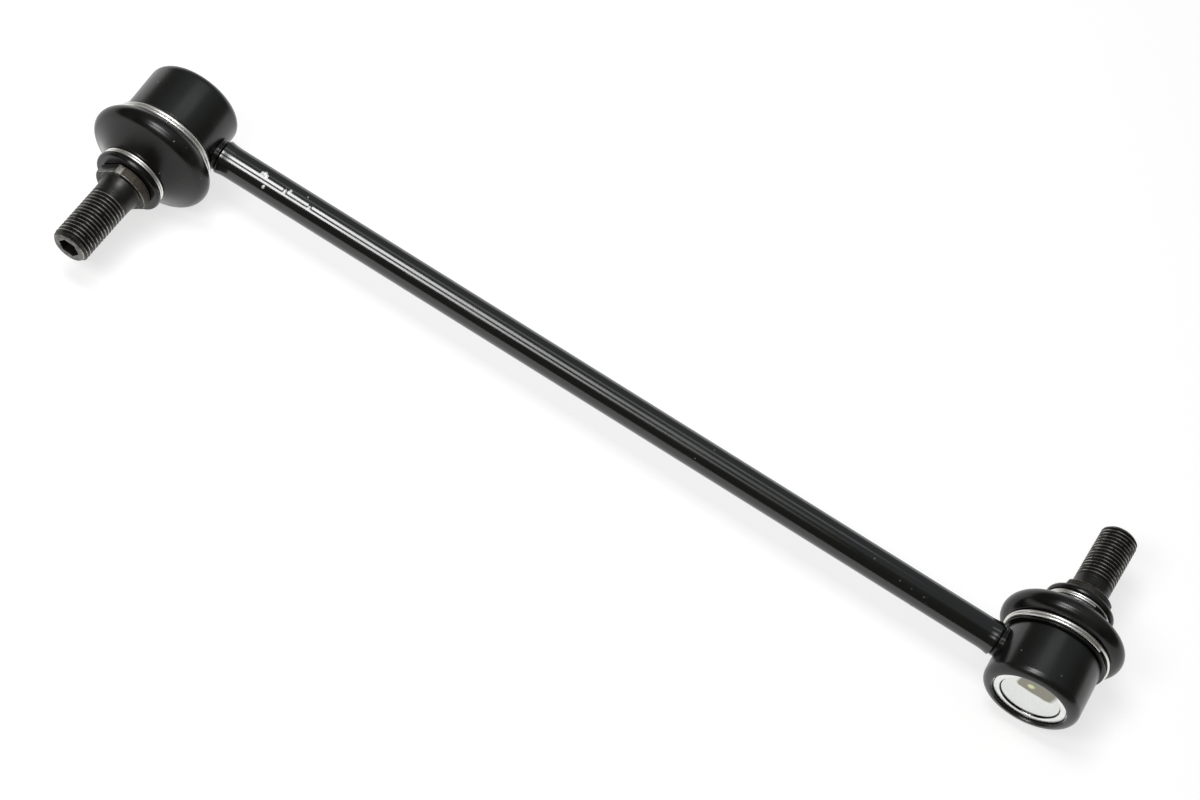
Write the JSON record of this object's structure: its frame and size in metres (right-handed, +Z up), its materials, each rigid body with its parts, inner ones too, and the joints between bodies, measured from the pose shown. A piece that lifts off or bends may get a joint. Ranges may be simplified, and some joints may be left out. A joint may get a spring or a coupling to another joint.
{
  "type": "stabilizer link",
  "caption": "Straight steel bar with a ball joint at each end; the threaded ball studs point opposite ways from rubber dust boots.",
  "frame": {"origin": "middle of the bar, on its centre line", "axes": "+X along the bar from end a to end b, +Y along the head axis of end b towards its stud, +Z up out of the plane of the two head axes"},
  "size_m": [0.3422, 0.1054, 0.039],
  "materials": {
    "black_paint": "gloss black paint on steel",
    "rubber": "matte moulded rubber",
    "zinc": "bright zinc plated pressed steel",
    "spring_wire": "bright drawn spring wire",
    "phosphate": "oiled black phosphate on steel",
    "acetal": "natural acetal"
  },
  "bodies": {
    "link": {"link_rod": "black_paint", "housing_a": "black_paint", "end_cap_a": "zinc", "dust_boot_a": "rubber", "boot_ring_large_a": "spring_wire", "housing_b": "black_paint", "end_cap_b": "zinc", "dust_boot_b": "rubber", "boot_ring_large_b": "spring_wire"},
    "seat_a": {"ball_seat_a": "acetal"},
    "lean_a": {"boot_ring_small_a": "spring_wire"},
    "stud_a": {"ball_stud_a": "phosphate"},
    "seat_b": {"ball_seat_b": "acetal"},
    "lean_b": {"boot_ring_small_b": "spring_wire"},
    "stud_b": {"ball_stud_b": "phosphate"}
  },
  "joints": [
    {"name": "seat_turn_a", "type": "hinge", "parent": "link", "child": "seat_a", "pos_m": [-0.1515, -0.0025, 0], "axis": [0, -1, 0], "continuous": true},
    {"name": "stud_tilt_a", "type": "hinge", "parent": "seat_a", "child": "lean_a", "pos_m": [-0.1515, -0.0025, 0], "axis": [0, 0, 1], "range_deg": [-22.5, 27.5], "deforming": ["dust_boot_a"]},
    {"name": "stud_spin_a", "type": "hinge", "parent": "lean_a", "child": "stud_a", "pos_m": [-0.1515, -0.0025, 0], "axis": [-0.0436, -0.999, 0], "continuous": true},
    {"name": "seat_turn_b", "type": "hinge", "parent": "link", "child": "seat_b", "pos_m": [0.1515, 0.0025, 0], "axis": [0, 1, 0], "continuous": true},
    {"name": "stud_tilt_b", "type": "hinge", "parent": "seat_b", "child": "lean_b", "pos_m": [0.1515, 0.0025, 0], "axis": [0, 0, 1], "range_deg": [-22.5, 27.5], "deforming": ["dust_boot_b"]},
    {"name": "stud_spin_b", "type": "hinge", "parent": "lean_b", "child": "stud_b", "pos_m": [0.1515, 0.0025, 0], "axis": [0.0436, 0.999, 0], "continuous": true}
  ]
}
